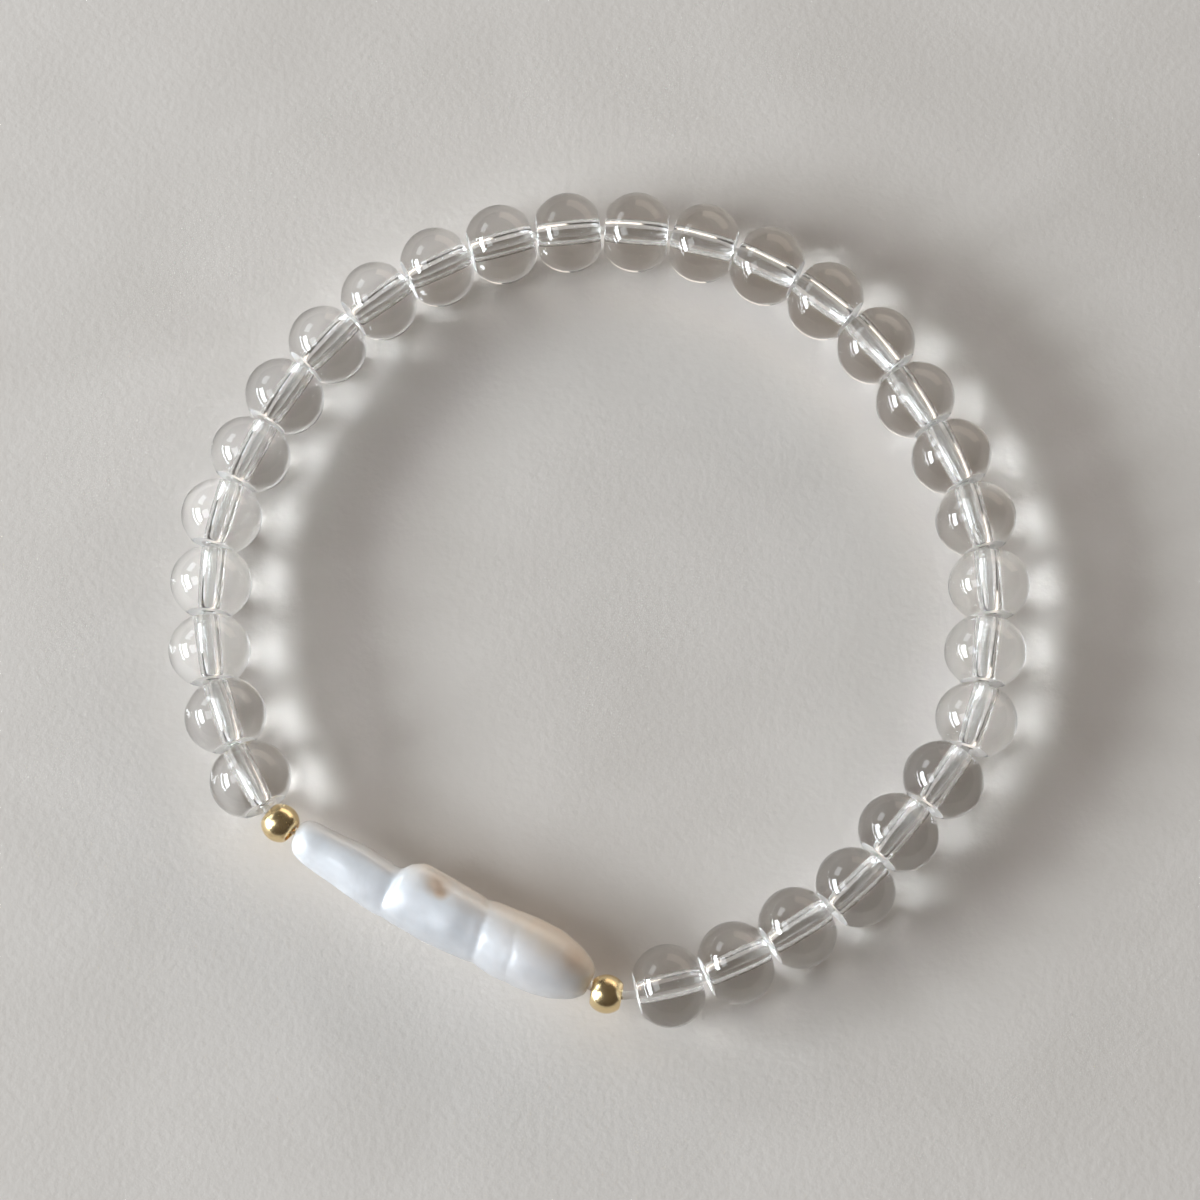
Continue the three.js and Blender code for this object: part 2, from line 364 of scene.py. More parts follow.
# ------------------------------------------------------------------ finishes

WHITE = (1.0, 1.0, 1.0)
GROUND_TINT = (0.93, 0.93, 0.92)
DRILLED_TINT = (0.96, 0.96, 0.955)
ELASTIC_HAZE = (0.98, 0.98, 0.97)


def new_finish(name, constants=None):
    """A material and its shader, with the numbers that are the same all over the surface."""
    finish = bpy.data.materials.new(name)
    finish.use_nodes = True
    shader = next(n for n in finish.node_tree.nodes if n.type == "BSDF_PRINCIPLED")
    for socket, value in (constants or {}).items():
        shader.inputs[socket].default_value = value
    return finish, shader


def add_node(finish, kind):
    """A new node of a kind in the material."""
    return finish.node_tree.nodes.new(kind)


def join(finish, source, target):
    """Feeds a node's output into a socket."""
    finish.node_tree.links.new(source, target)


def piece_coordinates(finish, stretch=(1, 1, 1)):
    """Coordinates fixed to the piece, in metres, drawn out along some axes."""
    where = add_node(finish, "ShaderNodeTexCoord")
    mapping = add_node(finish, "ShaderNodeMapping")
    mapping.inputs["Scale"].default_value = stretch
    join(finish, where.outputs["Object"], mapping.inputs["Vector"])
    return mapping.outputs["Vector"]


def clouding(finish, grain_size, detail=3.0, distortion=0.0, stretch=(1, 1, 1)):
    """Soft random clouding whose spots are about grain_size across."""
    cloud = add_node(finish, "ShaderNodeTexNoise")
    cloud.inputs["Scale"].default_value = 1 / grain_size
    cloud.inputs["Detail"].default_value = detail
    cloud.inputs["Distortion"].default_value = distortion
    join(finish, piece_coordinates(finish, stretch), cloud.inputs["Vector"])
    return cloud.outputs["Fac"]


def spread(finish, source, low, high, start=0.3, end=0.7):
    """A number that goes from low to high as the source goes from start to end."""
    span = add_node(finish, "ShaderNodeMapRange")
    ends = {"From Min": start, "From Max": end, "To Min": low, "To Max": high}
    for name, value in ends.items():
        span.inputs[name].default_value = value
    join(finish, source, span.inputs["Value"])
    return span.outputs["Result"]


def blend_colours(finish, source, first, second, start=0.35, end=0.65):
    """A colour that goes from first to second as the source goes from start to end."""
    ramp = add_node(finish, "ShaderNodeValToRGB")
    low, high = ramp.color_ramp.elements
    low.position, high.position = start, end
    low.color, high.color = (*first, 1), (*second, 1)
    join(finish, source, ramp.inputs["Fac"])
    return ramp.outputs["Color"]


def colour_steps(finish, source, steps):
    """A colour that passes through several, each at its own value of the source."""
    ramp = add_node(finish, "ShaderNodeValToRGB")
    stops = ramp.color_ramp.elements
    while len(stops) < len(steps):
        stops.new(0.5)
    for stop, (place, colour) in zip(stops, steps):
        stop.position = place
        stop.color = (*colour, 1)
    join(finish, source, ramp.inputs["Fac"])
    return ramp.outputs["Color"]


def mixed(finish, share, first, second):
    """One colour over another, by a share that comes from a node."""
    mix = add_node(finish, "ShaderNodeMix")
    mix.data_type = "RGBA"
    join(finish, share, mix.inputs["Factor"])
    join(finish, first, mix.inputs["A"])
    join(finish, second, mix.inputs["B"])
    return mix.outputs["Result"]


def relief(finish, height, depth):
    """Bump of a given depth in metres."""
    bump = add_node(finish, "ShaderNodeBump")
    bump.inputs["Distance"].default_value = depth
    join(finish, height, bump.inputs["Height"])
    return bump.outputs["Normal"]


def polished_crystal(sizes):
    """Clear crystal, very slightly clouded and unevenly polished."""
    constants = {"Transmission Weight": 1.0, "IOR": sizes.refraction}
    finish, shader = new_finish("polished_crystal", constants)
    veil = clouding(finish, 2.6 * MM, detail=4, distortion=0.6)
    tint = blend_colours(finish, veil, sizes.tint, sizes.veil, 0.45, 0.8)
    join(finish, tint, shader.inputs["Base Color"])
    smears = clouding(finish, 0.9 * MM, detail=5)
    join(finish, spread(finish, smears, 0.0, 0.03), shader.inputs["Roughness"])
    return finish


def ground_crystal(sizes):
    """The flat end and bevelled mouth of a clear bead, ground and not polished."""
    constants = {"Transmission Weight": 0.75, "IOR": sizes.refraction}
    finish, shader = new_finish("ground_crystal", constants)
    scoring = clouding(finish, 0.12 * MM, detail=4)
    frost = blend_colours(finish, scoring, GROUND_TINT, WHITE)
    join(finish, frost, shader.inputs["Base Color"])
    join(finish, spread(finish, scoring, 0.3, 0.5), shader.inputs["Roughness"])
    join(finish, relief(finish, scoring, 0.01 * MM), shader.inputs["Normal"])
    return finish


def drilled_crystal(sizes):
    """The fire-polished wall of the bore of a clear bead, a little uneven."""
    constants = {"Transmission Weight": 0.97, "IOR": sizes.refraction}
    finish, shader = new_finish("drilled_crystal", constants)
    chatter = clouding(finish, 0.16 * MM, detail=4)
    tint = blend_colours(finish, chatter, DRILLED_TINT, WHITE)
    join(finish, tint, shader.inputs["Base Color"])
    rough = spread(finish, chatter, sizes.frost * 0.7, sizes.frost * 1.2)
    join(finish, rough, shader.inputs["Roughness"])
    join(finish, relief(finish, chatter, 0.006 * MM), shader.inputs["Normal"])
    return finish


def polished_gold(sizes):
    """Polished gold with fine handling marks, duller in places."""
    finish, shader = new_finish("polished_gold", {"Metallic": 1.0})
    dulling = clouding(finish, 0.9 * MM, detail=5, distortion=0.4)
    colour = blend_colours(finish, dulling, sizes.colour, sizes.tarnish, 0.5, 0.8)
    join(finish, colour, shader.inputs["Base Color"])
    join(finish, spread(finish, dulling, 0.2, 0.3), shader.inputs["Roughness"])
    marks = clouding(finish, 0.07 * MM, detail=3, stretch=(1, 1, 4))
    join(finish, relief(finish, marks, 0.0016 * MM), shader.inputs["Normal"])
    return finish


def clear_elastic(sizes):
    """Clear elastic, a little milky and dull."""
    finish, shader = new_finish("clear_elastic", {"Transmission Weight": 0.9, "IOR": 1.5})
    cloud = clouding(finish, 0.5 * MM, detail=3)
    colour = blend_colours(finish, cloud, sizes.colour, ELASTIC_HAZE)
    join(finish, colour, shader.inputs["Base Color"])
    join(finish, spread(finish, cloud, 0.12, 0.26), shader.inputs["Roughness"])
    join(finish, relief(finish, cloud, 0.01 * MM), shader.inputs["Normal"])
    return finish


# ------------------------------------------------------------------ clear beads

BEAD_SIDES = 64
BEAD_ARC_STEPS = 14
BEAD_SEED = 29
BEAD_WANDERS = 1.6  # hollows and swells of the polish across a bead
FARTHEST_SHIFT = 50  # in the field of noise, so that no two beads are alike


def uneven_ball(ring, sizes, shift):
    """A ring of a bead's skin, moved in and out by its uneven polish."""
    moved = []
    for point in ring:
        swell = noise.noise(point / sizes.diameter * BEAD_WANDERS + shift)
        moved.append(point + point.normalized() * swell * sizes.unevenness)
    return moved


class BRACELET_OT_clear_beads(bpy.types.Operator):
    """Make the clear beads and put them on the string"""

    bl_idname = "bracelet.clear_beads"
    bl_label = "Clear beads"

    def execute(self, context):
        sizes = settings().beads
        finishes = [polished_crystal(sizes), ground_crystal(sizes), drilled_crystal(sizes)]
        outline, bands = drilled_ball_outline(
            sizes, sizes.edge_rounding, sizes.mouth_bevel, BEAD_ARC_STEPS
        )
        draw = random.Random(BEAD_SEED)
        for place in string_places()[1:-1]:
            first_turn = draw.uniform(0, math.tau)
            shift = Vector([draw.uniform(0, FARTHEST_SHIFT) for _ in range(3)])
            rings = [
                uneven_ball(turned_ring(point.x, point.y, BEAD_SIDES, first_turn), sizes, shift)
                for point in outline
            ]
            where = strung_at(place.middle, place.heading)
            name = place.node.replace("crystal_bead", "clear_bead")
            bead = closed_skin(name, rings, where, finishes, bands)
            set_in_frame(bead, place.node)
        return {"FINISHED"}


# ------------------------------------------------------------------ gold beads

GOLD_SIDES = 64
GOLD_ARC_STEPS = 12
GOLD_EDGE_ROUNDING = 0.12 * MM
GOLD_MOUTH_BEVEL = 0.04 * MM


class BRACELET_OT_gold_beads(bpy.types.Operator):
    """Make the two gold beads, one at each end of the pearl"""

    bl_idname = "bracelet.gold_beads"
    bl_label = "Gold beads"

    def execute(self, context):
        sizes = settings().gold
        finishes = [polished_gold(sizes)]
        outline, _ = drilled_ball_outline(
            sizes, GOLD_EDGE_ROUNDING, GOLD_MOUTH_BEVEL, GOLD_ARC_STEPS
        )
        rings = [turned_ring(point.x, point.y, GOLD_SIDES) for point in outline]
        places = string_places()
        for place in (places[0], places[-1]):
            where = strung_at(place.middle, place.heading)
            bead = closed_skin(f"polished_{place.node}", rings, where, finishes)
            set_in_frame(bead, place.node)
        return {"FINISHED"}


# ------------------------------------------------------------------ stick pearl

# Reach of the skin from the bore's axis in millimetres, towards the middle of the loop, away
# from it, up and down, at places along the pearl counted from the middle of the left gold bead.
Section = namedtuple("Section", "along inner outer up down")
PEARL_SECTIONS = [
    Section(1.5, 0.85, 1.05, 0.85, 0.85),
    Section(1.9, 1.15, 1.5, 1.15, 1.15),
    Section(2.8, 1.28, 1.84, 1.4, 1.4),
    Section(4.6, 1.34, 2.08, 1.55, 1.5),
    Section(6.2, 1.46, 2.32, 1.65, 1.6),
    Section(7.9, 1.32, 2.56, 1.7, 1.65),
    Section(9.4, 1.2, 2.66, 1.62, 1.65),
    Section(9.95, 1.76, 2.67, 2.0, 1.75),
    Section(11.2, 2.31, 2.7, 2.25, 1.95),
    Section(12.9, 2.24, 2.78, 2.3, 2.05),
    Section(14.4, 2.21, 2.76, 2.25, 2.05),
    Section(15.9, 2.15, 2.62, 2.14, 1.98),
    Section(17.3, 2.33, 2.56, 2.2, 2.1),
    Section(18.7, 2.47, 2.66, 2.3, 2.2),
    Section(20.2, 2.59, 2.63, 2.35, 2.2),
    Section(21.6, 2.57, 2.5, 2.25, 2.1),
    Section(22.9, 2.35, 2.24, 2.05, 1.9),
    Section(24.0, 1.98, 1.76, 1.7, 1.6),
    Section(24.7, 1.6, 1.33, 1.35, 1.25),
    Section(25.1, 1.15, 0.9, 0.95, 0.9),
]

# Furrows round the pearl: place along it, width and depth in millimetres, and how far the
# furrow leans along the pearl between its inner and outer side.
Furrow = namedtuple("Furrow", "along width depth lean")
PEARL_FURROWS = [
    Furrow(9.3, 0.4, 0.06, 0.4),
    Furrow(16.6, 0.32, 0.1, 0.5),
    Furrow(19.0, 0.25, 0.04, 0.8),
]

# Single swells and dents: place along the pearl, turn round it (0 is outward, 90 up and 180
# inward), width in millimetres and height.
Dimple = namedtuple("Dimple", "along turn width height")
PEARL_DIMPLES = [
    Dimple(12.4, 120, 0.75, -0.2),
    Dimple(13.0, 106, 0.4, -0.1),
    Dimple(10.9, 140, 1.0, 0.14),
    Dimple(14.4, 66, 1.3, 0.13),
    Dimple(17.9, 80, 0.9, 0.08),
    Dimple(21.3, 66, 1.7, 0.12),
    Dimple(23.5, 118, 0.8, -0.1),
    Dimple(2.4, 70, 0.8, 0.08),
]

# Brown spots: place along the pearl, turn round it, and reach in millimetres. The first two are
# bare spots in the nacre of the knob; the last browns a wide patch on the right end's inner side.
Pit = namedtuple("Pit", "along turn reach")
PEARL_PITS = [Pit(12.5, 118, 1.0), Pit(13.0, 106, 0.4), Pit(24.0, 125, 1.2)]
PIT_HEIGHT = 2.2  # of a pit's middle over the bore's axis
PIT_CORE, PIT_EDGE = 0.3, 0.5  # the brown is full up to the core and gone at edge and reach
PIT_COVER = 0.85
PIT_FRAY = 0.4  # millimetres that a pit's edge strays

# How the nacre's colours fade: from start to end in millimetres, counted inward from the
# bore's axis or along the pearl, a colour's share goes from low to high.
Fade = namedtuple("Fade", "start end low high")
# The fade across the pearl places painted shade on the outer side and painted light on the inner
# side.
ACROSS = Fade(-2.2, 3.4, 0.0, 1.0)
INNER_HALF = Fade(-0.6, 2.0, 0.15, 0.9)
OUTER_HALF = Fade(-1.2, 1.0, 0.85, 0.1)
LEFT_END = Fade(7.5, 10.0, 1.0, 0.0)
RIGHT_END = Fade(15.0, 24.0, 0.0, 1.0)
COLOUR_STRAY = 1.4  # millimetres that the fades across the pearl stray

PEARL_STEP = 0.14  # millimetres between rings
PEARL_SIDES = 96
PEARL_BORE_RINGS = 12
PEARL_LIP_STEPS = 4
PEARL_LIP_ROUNDING = 0.1
PEARL_END_DOME = 0.1
PEARL_CAP_SHARES = (0.12, 0.3, 0.55, 0.8)

FURROW_WANDER = 0.4  # millimetres that a furrow strays from its line
FURROW_BENDS = 1.3
BROAD_SWELL, FINE_SWELL = 1.6, 0.4  # of the relief
BROAD_SPACING, FINE_SPACING = 0.5, 1.3  # swells in a millimetre
BROAD_PLACE, FINE_PLACE = Vector((3.1, 0, 7.7)), Vector((9.2, 4.0, 0))


def slopes_through(xs, ys):
    """Slopes of a smooth curve through points that never overshoots them."""
    secants = [(ys[i + 1] - ys[i]) / (xs[i + 1] - xs[i]) for i in range(len(xs) - 1)]
    slopes = [secants[0]]
    for before, after in zip(secants, secants[1:]):
        slopes.append(0 if before * after <= 0 else 2 * before * after / (before + after))
    return slopes + [secants[-1]]


def smooth_value(xs, ys, slopes, x):
    """Height at x of the smooth curve through the points."""
    index = max(i for i in range(len(xs) - 1) if xs[i] <= x or i == 0)
    step = xs[index + 1] - xs[index]
    t = (x - xs[index]) / step
    return (
        ys[index] * (1 + 2 * t) * (1 - t) ** 2
        + ys[index + 1] * t**2 * (3 - 2 * t)
        + step * t * (1 - t) * (slopes[index] * (1 - t) - slopes[index + 1] * t)
    )


class PearlShape:
    """The skin of the pearl in millimetres: local X outward, Y along it, Z up."""

    def __init__(self, relief_height):
        self.relief = relief_height
        self.along = [row.along for row in PEARL_SECTIONS]
        self.columns = {}
        for column in ("inner", "outer", "up", "down"):
            reach = [getattr(row, column) for row in PEARL_SECTIONS]
            self.columns[column] = (reach, slopes_through(self.along, reach))

    def reach(self, column, along):
        """How far the smooth skin is from the bore's axis on one side."""
        heights, slopes = self.columns[column]
        return smooth_value(self.along, heights, slopes, along)

    def point(self, along, turn):
        """A point of the skin."""
        outward, upward = math.cos(turn), math.sin(turn)
        x = outward * self.reach("outer" if outward > 0 else "inner", along)
        z = upward * self.reach("up" if upward > 0 else "down", along)
        skin = Vector((x, along, z))
        away = Vector((x, 0, z)).normalized()
        return skin + away * self.swell(skin, turn)

    def swell(self, skin, turn):
        """How far the skin stands out from its smooth form."""
        height = 0
        for furrow in PEARL_FURROWS:
            middle = furrow.along + furrow.lean * math.cos(turn)
            line = Vector((math.cos(turn), math.sin(turn), furrow.along))
            wander = FURROW_WANDER * noise.noise(line * FURROW_BENDS)
            off = (skin.y - middle - wander) / furrow.width
            height -= furrow.depth * math.exp(-off * off)
        for dimple in PEARL_DIMPLES:
            side = math.radians(dimple.turn)
            round_off = math.atan2(math.sin(turn - side), math.cos(turn - side))
            across = round_off * math.hypot(skin.x, skin.z)
            away = math.hypot(across, skin.y - dimple.along) / dimple.width
            height += dimple.height * math.exp(-away * away)
        broad = noise.noise(skin * BROAD_SPACING + BROAD_PLACE)
        fine = noise.noise(skin * FINE_SPACING + FINE_PLACE)
        return height + self.relief * (BROAD_SWELL * broad + FINE_SWELL * fine)

    def skin_ring(self, along):
        """Points of the skin all the way round."""
        turns = evenly(0, math.tau, PEARL_SIDES)[:-1]
        return [self.point(along, turn) for turn in turns]


def cap_rings(ring, lip, towards):
    """Rings from the skin's last ring in to the lip of the bore, gently domed."""
    target = turned_ring(lip, ring[0].y, PEARL_SIDES)
    cap = []
    for share in PEARL_CAP_SHARES:
        dome = towards * PEARL_END_DOME * math.sin(share * math.pi / 2)
        bulge = Vector((0, dome, 0))
        cap.append([a.lerp(b, share) + bulge for a, b in zip(ring, target)])
    return cap


def lip_rings(bore, end, towards):
    """Rings of the rounded lip, from the domed end into the bore."""
    top = end + towards * PEARL_END_DOME
    edge = Vector((bore + PEARL_LIP_ROUNDING, top))
    inside = Vector((bore, top - towards * PEARL_LIP_ROUNDING))
    corner = rounded_corner(edge, Vector((bore, top)), inside, PEARL_LIP_STEPS)
    return [turned_ring(point.x, point.y, PEARL_SIDES) for point in corner]


def pearl_rings(sizes):
    """Rings of the whole pearl: up its skin, in over the end, back through the bore."""
    shape = PearlShape(sizes.relief / MM)
    first, last = PEARL_SECTIONS[0].along, PEARL_SECTIONS[-1].along
    steps = round((last - first) / PEARL_STEP)
    rings = [shape.skin_ring(along) for along in evenly(first, last, steps)]
    bore = sizes.bore / MM / 2
    lip = bore + PEARL_LIP_ROUNDING
    wall_places = evenly(last - PEARL_LIP_ROUNDING, first + PEARL_LIP_ROUNDING, PEARL_BORE_RINGS)
    wall = [turned_ring(bore, along, PEARL_SIDES) for along in wall_places]
    near_lip, near_cap = lip_rings(bore, first, -1), cap_rings(rings[0], lip, -1)
    rings += cap_rings(rings[-1], lip, 1) + lip_rings(bore, last, 1)
    rings += wall + near_lip[::-1] + near_cap[::-1]
    return [[point * MM for point in ring] for ring in rings]


def distance_to(finish, spot):
    """Distance in metres from a spot fixed to the piece."""
    measure = add_node(finish, "ShaderNodeVectorMath")
    measure.operation = "DISTANCE"
    measure.inputs[1].default_value = spot
    join(finish, piece_coordinates(finish), measure.inputs[0])
    return measure.outputs["Value"]


def side_of(finish, origin, direction):
    """Signed distance in metres from the plane through origin square to direction."""
    offset = add_node(finish, "ShaderNodeVectorMath")
    offset.operation = "SUBTRACT"
    offset.inputs[1].default_value = origin
    join(finish, piece_coordinates(finish), offset.inputs[0])
    dot = add_node(finish, "ShaderNodeVectorMath")
    dot.operation = "DOT_PRODUCT"
    dot.inputs[1].default_value = direction
    join(finish, offset.outputs["Vector"], dot.inputs[0])
    return dot.outputs["Value"]


def worked_out(finish, operation, first, second):
    """A number made from a node's output and either another output or a plain number."""
    node = add_node(finish, "ShaderNodeMath")
    node.operation = operation
    join(finish, first, node.inputs[0])
    if isinstance(second, (int, float)):
        node.inputs[1].default_value = second
    else:
        join(finish, second, node.inputs[1])
    return node.outputs["Value"]


def faded(finish, distance, fade):
    """The share that a fade gives at a distance in metres."""
    return spread(finish, distance, fade.low, fade.high, fade.start * MM, fade.end * MM)


def nacre_colour(finish, sizes, where, broad):
    """Painted shade in grey outside, cool white on top, painted light and a warm pink inside, and
    a warm brown, partly painted shade, at the right end.
    """
    axis, turn = where.translation, where.to_3x3()
    stray = worked_out(finish, "MULTIPLY", broad, COLOUR_STRAY * MM)
    inward = worked_out(finish, "ADD", side_of(finish, axis, turn @ Vector((-1, 0, 0))), stray)
    along = side_of(finish, axis, turn @ Vector((0, 1, 0)))
    # Across the pearl: painted shade on the outer side, the top colour, then painted light and the
    # warm pink on the inner side.
    steps = ((0.06, sizes.shade), (0.5, sizes.body), (0.72, sizes.cream_and_painted_light), (0.92, sizes.blush_and_painted_reflection))
    colour = colour_steps(finish, faded(finish, inward, ACROSS), steps)
    # Painted shade: the outer side of the slim left part is darkened, which leaves a lighter
    # streak along its middle.
    slim_painted_shade = blend_colours(finish, broad, sizes.shade, sizes.body, 0.3, 1.0)
    # Warm brown for the right end: the nacre's tint together with painted warm shade.
    tan = blend_colours(finish, broad, sizes.blush_and_painted_reflection, sizes.tan, 0.25, 0.7)
    # The slim left part takes painted shade on its outer half, and the right end takes the warm
    # brown on its inner half.
    for end, half, over in ((LEFT_END, OUTER_HALF, slim_painted_shade), (RIGHT_END, INNER_HALF, tan)):
        both = faded(finish, along, end), faded(finish, inward, half)
        colour = mixed(finish, worked_out(finish, "MULTIPLY", *both), colour, over)
    brown = blend_colours(finish, broad, sizes.pit, sizes.tan, 0.3, 0.7)
    fray = worked_out(finish, "MULTIPLY", broad, PIT_FRAY * MM)
    for pit in PEARL_PITS:
        side = math.radians(pit.turn)
        spot = Vector((PIT_HEIGHT * math.cos(side), pit.along, PIT_HEIGHT * math.sin(side)))
        away = worked_out(finish, "ADD", distance_to(finish, where @ (spot * MM)), fray)
        share = faded(finish, away, Fade(PIT_CORE, PIT_EDGE + pit.reach, PIT_COVER, 0.0))
        colour = mixed(finish, share, colour, brown)
    return colour


def nacre(sizes, where):
    """Baroque nacre: glossy over a soft, faintly uneven body that light enters."""
    constants = {
        "IOR": 1.66,
        "Metallic": 0.1,
        "Subsurface Weight": 1.0,
        "Subsurface Radius": (1.2, 1.1, 1.05),
        "Subsurface Scale": 3.0 * MM,
        "Coat Weight": 0.5,
        "Coat Roughness": 0.12,
        "Coat IOR": 1.6,
    }
    finish, shader = new_finish("nacre", constants)
    broad = clouding(finish, 2.4 * MM, detail=4, distortion=0.5)
    join(finish, nacre_colour(finish, sizes, where, broad), shader.inputs["Base Color"])
    skin = clouding(finish, 0.7 * MM, detail=2)
    join(finish, spread(finish, skin, 0.38, 0.5), shader.inputs["Roughness"])
    join(finish, relief(finish, skin, 0.012 * MM), shader.inputs["Normal"])
    return finish


class BRACELET_OT_stick_pearl(bpy.types.Operator):
    """Make the baroque stick pearl between the gold beads"""

    bl_idname = "bracelet.stick_pearl"
    bl_label = "Stick pearl"

    def execute(self, context):
        sizes = settings().pearl
        left, right = node_middle(LEFT_GOLD), node_middle(RIGHT_GOLD)
        where = strung_at(left, heading_between(left, right))
        finishes = [nacre(sizes, where)]
        pearl = closed_skin("baroque_stick_pearl", pearl_rings(sizes), where, finishes)
        set_in_frame(pearl, PEARL)
        return {"FINISHED"}


# ------------------------------------------------------------------ elastic

PEARL_SPAN_SHARES = (0.06, 0.12, 0.3, 0.5, 0.7, 0.88, 0.94)
ELASTIC_SIDES = 16
ELASTIC_STEP = 0.25 * MM
KNOT_WRAPS = 3
KNOT_GROOVE = 0.18  # of the knot's height, how deep the grooves between its wraps are


def route_points():
    """Points of the closed route: through the pearl, then every bead and gap in turn."""
    sizes = settings()
    places = string_places()
    right, left = places[0], places[-1]
    points = [left.middle.lerp(right.middle, share) for share in PEARL_SPAN_SHARES]
    for place, following in zip(places, places[1:]):
        half = (sizes.gold if place.node == RIGHT_GOLD else sizes.beads).length / 2
        next_half = (sizes.gold if following.node == LEFT_GOLD else sizes.beads).length / 2
        leaving = place.middle + unit_along(place.heading) * half
        entering = following.middle - unit_along(following.heading) * next_half
        points += [place.middle, leaving.lerp(entering, 0.5)]
    return points + [left.middle]


def smooth_loop(points, step):
    """Evenly spaced points of the smooth closed curve through the route's points."""
    count = len(points)
    dense = []
    for index in range(count):
        before, start, end, after = (points[(index + k) % count] for k in (-1, 0, 1, 2))
        knots = [0]
        for a, b in ((before, start), (start, end), (end, after)):
            knots.append(knots[-1] + math.sqrt((b - a).length))
        pieces = max(2, round((end - start).length / step))
        for t in evenly(knots[1], knots[2], pieces)[:-1]:
            dense.append(curve_point((before, start, end, after), knots, t))
    return dense


def curve_point(points, knots, t):
    """Point of a smooth curve between the two middle ones of four points."""

    def between(a, b, low, high):
        return a * ((high - t) / (high - low)) + b * ((t - low) / (high - low))

    p0, p1, p2, p3 = points
    k0, k1, k2, k3 = knots
    a1, a2, a3 = between(p0, p1, k0, k1), between(p1, p2, k1, k2), between(p2, p3, k2, k3)
    b1, b2 = between(a1, a2, k0, k2), between(a2, a3, k1, k3)
    return between(b1, b2, k1, k2)


def elastic_rings(sizes):
    """Rings round the route, swelling to the wrapped knot inside the left gold bead."""
    knot = node_middle(LEFT_GOLD)
    route = smooth_loop(route_points(), ELASTIC_STEP)
    upward = Vector((0, 0, 1))
    rings = []
    for index, point in enumerate(route):
        ahead = route[(index + 1) % len(route)] - route[index - 1]
        side = upward.cross(ahead.normalized())
        signed = (point - knot).dot(ahead.normalized())
        near = (point - knot).length < sizes.knot_length
        share = max(0, 1 - (2 * signed / sizes.knot_length) ** 2) if near else 0
        swell = (sizes.knot_diameter - sizes.diameter) / 2 * math.sqrt(share)
        ring = []
        for step in range(ELASTIC_SIDES):
            turn = step * math.tau / ELASTIC_SIDES
            wrap = math.sin(KNOT_WRAPS * math.pi * 2 * signed / sizes.knot_length + turn)
            radius = sizes.diameter / 2 + swell * (1 - KNOT_GROOVE + KNOT_GROOVE * wrap)
            ring.append(point + (side * math.cos(turn) + upward * math.sin(turn)) * radius)
        rings.append(ring)
    return rings


class BRACELET_OT_elastic(bpy.types.Operator):
    """Make the loop of elastic and its knot"""

    bl_idname = "bracelet.elastic"
    bl_label = "Elastic"

    def execute(self, context):
        sizes = settings().elastic
        here = Matrix.Identity(4)
        elastic = closed_skin("clear_elastic", elastic_rings(sizes), here, [clear_elastic(sizes)])
        set_in_frame(elastic, ELASTIC)
        return {"FINISHED"}


# ------------------------------------------------------------------ stage

FLOOR_REACH = 2.0  # metres
FLOOR_SIDES = 96


def pale_floor(sizes):
    """Plain pale plaster, faintly mottled and grained."""
    finish, shader = new_finish("pale_floor")
    mottle = clouding(finish, 14 * MM, detail=6, distortion=0.5)
    colour = blend_colours(finish, mottle, sizes.floor_colour, sizes.floor_mottle)
    join(finish, colour, shader.inputs["Base Color"])
    grain = clouding(finish, 0.6 * MM, detail=4)
    join(finish, spread(finish, grain, 0.75, 0.95), shader.inputs["Roughness"])
    join(finish, relief(finish, grain, 0.03 * MM), shader.inputs["Normal"])
    return finish


def add_floor(sizes):
    """A wide round floor under the bracelet."""
    mesh = bpy.data.meshes.new("floor")
    work = bmesh.new()
    bmesh.ops.create_circle(work, cap_ends=True, segments=FLOOR_SIDES, radius=FLOOR_REACH)
    work.to_mesh(mesh)
    work.free()
    floor = bpy.data.objects.new("floor", mesh)
    bpy.context.scene.collection.objects.link(floor)
    mesh.materials.append(pale_floor(sizes))


def aim(thing, target):
    """Turns a lamp or camera to face a point."""
    thing.rotation_euler = (target - thing.location).to_track_quat("-Z", "Y").to_euler()


# Size of each light and its distance in millimetres. Rise is its height as an angle, and turn
# goes anticlockwise from the right, both in degrees. Power is in watts.
SoftLight = namedtuple("SoftLight", "name width height distance rise turn power colour")
SOFT_LIGHTS = [
    SoftLight("window_light", 750, 280, 1200, 22, 189, 17.5, (0.86, 0.93, 1.0)),
    SoftLight("side_light", 500, 350, 1200, 26, 145, 2.2, (0.88, 0.94, 1.0)),
    SoftLight("low_light", 900, 60, 1200, 6, 189, 5.0, (0.9, 0.95, 1.0)),
    SoftLight("upper_light", 500, 400, 1200, 46, 194, 3.0, (0.9, 0.95, 1.0)),
    SoftLight("bounce_light", 1500, 600, 1200, 14, 60, 4.6, (1.0, 0.89, 0.78)),
]


def add_lights(sizes):
    """A wide window low on the left with dimmer lights beside, under and over it, and a warm
    one opposite, as from a wall."""
    for light in SOFT_LIGHTS:
        data = bpy.data.lights.new(light.name, "AREA")
        data.shape = "RECTANGLE"
        data.size, data.size_y = light.width * MM, light.height * MM
        data.energy = light.power * sizes.light_share
        data.color = light.colour
        lamp = bpy.data.objects.new(light.name, data)
        bpy.context.scene.collection.objects.link(lamp)
        rise, turn = math.radians(light.rise), math.radians(light.turn)
        level = Vector((math.cos(turn), math.sin(turn), 0)) * math.cos(rise)
        lamp.location = (level + Vector((0, 0, math.sin(rise)))) * light.distance * MM
        aim(lamp, Vector((0, 0, 0)))
        lamp.visible_camera = False


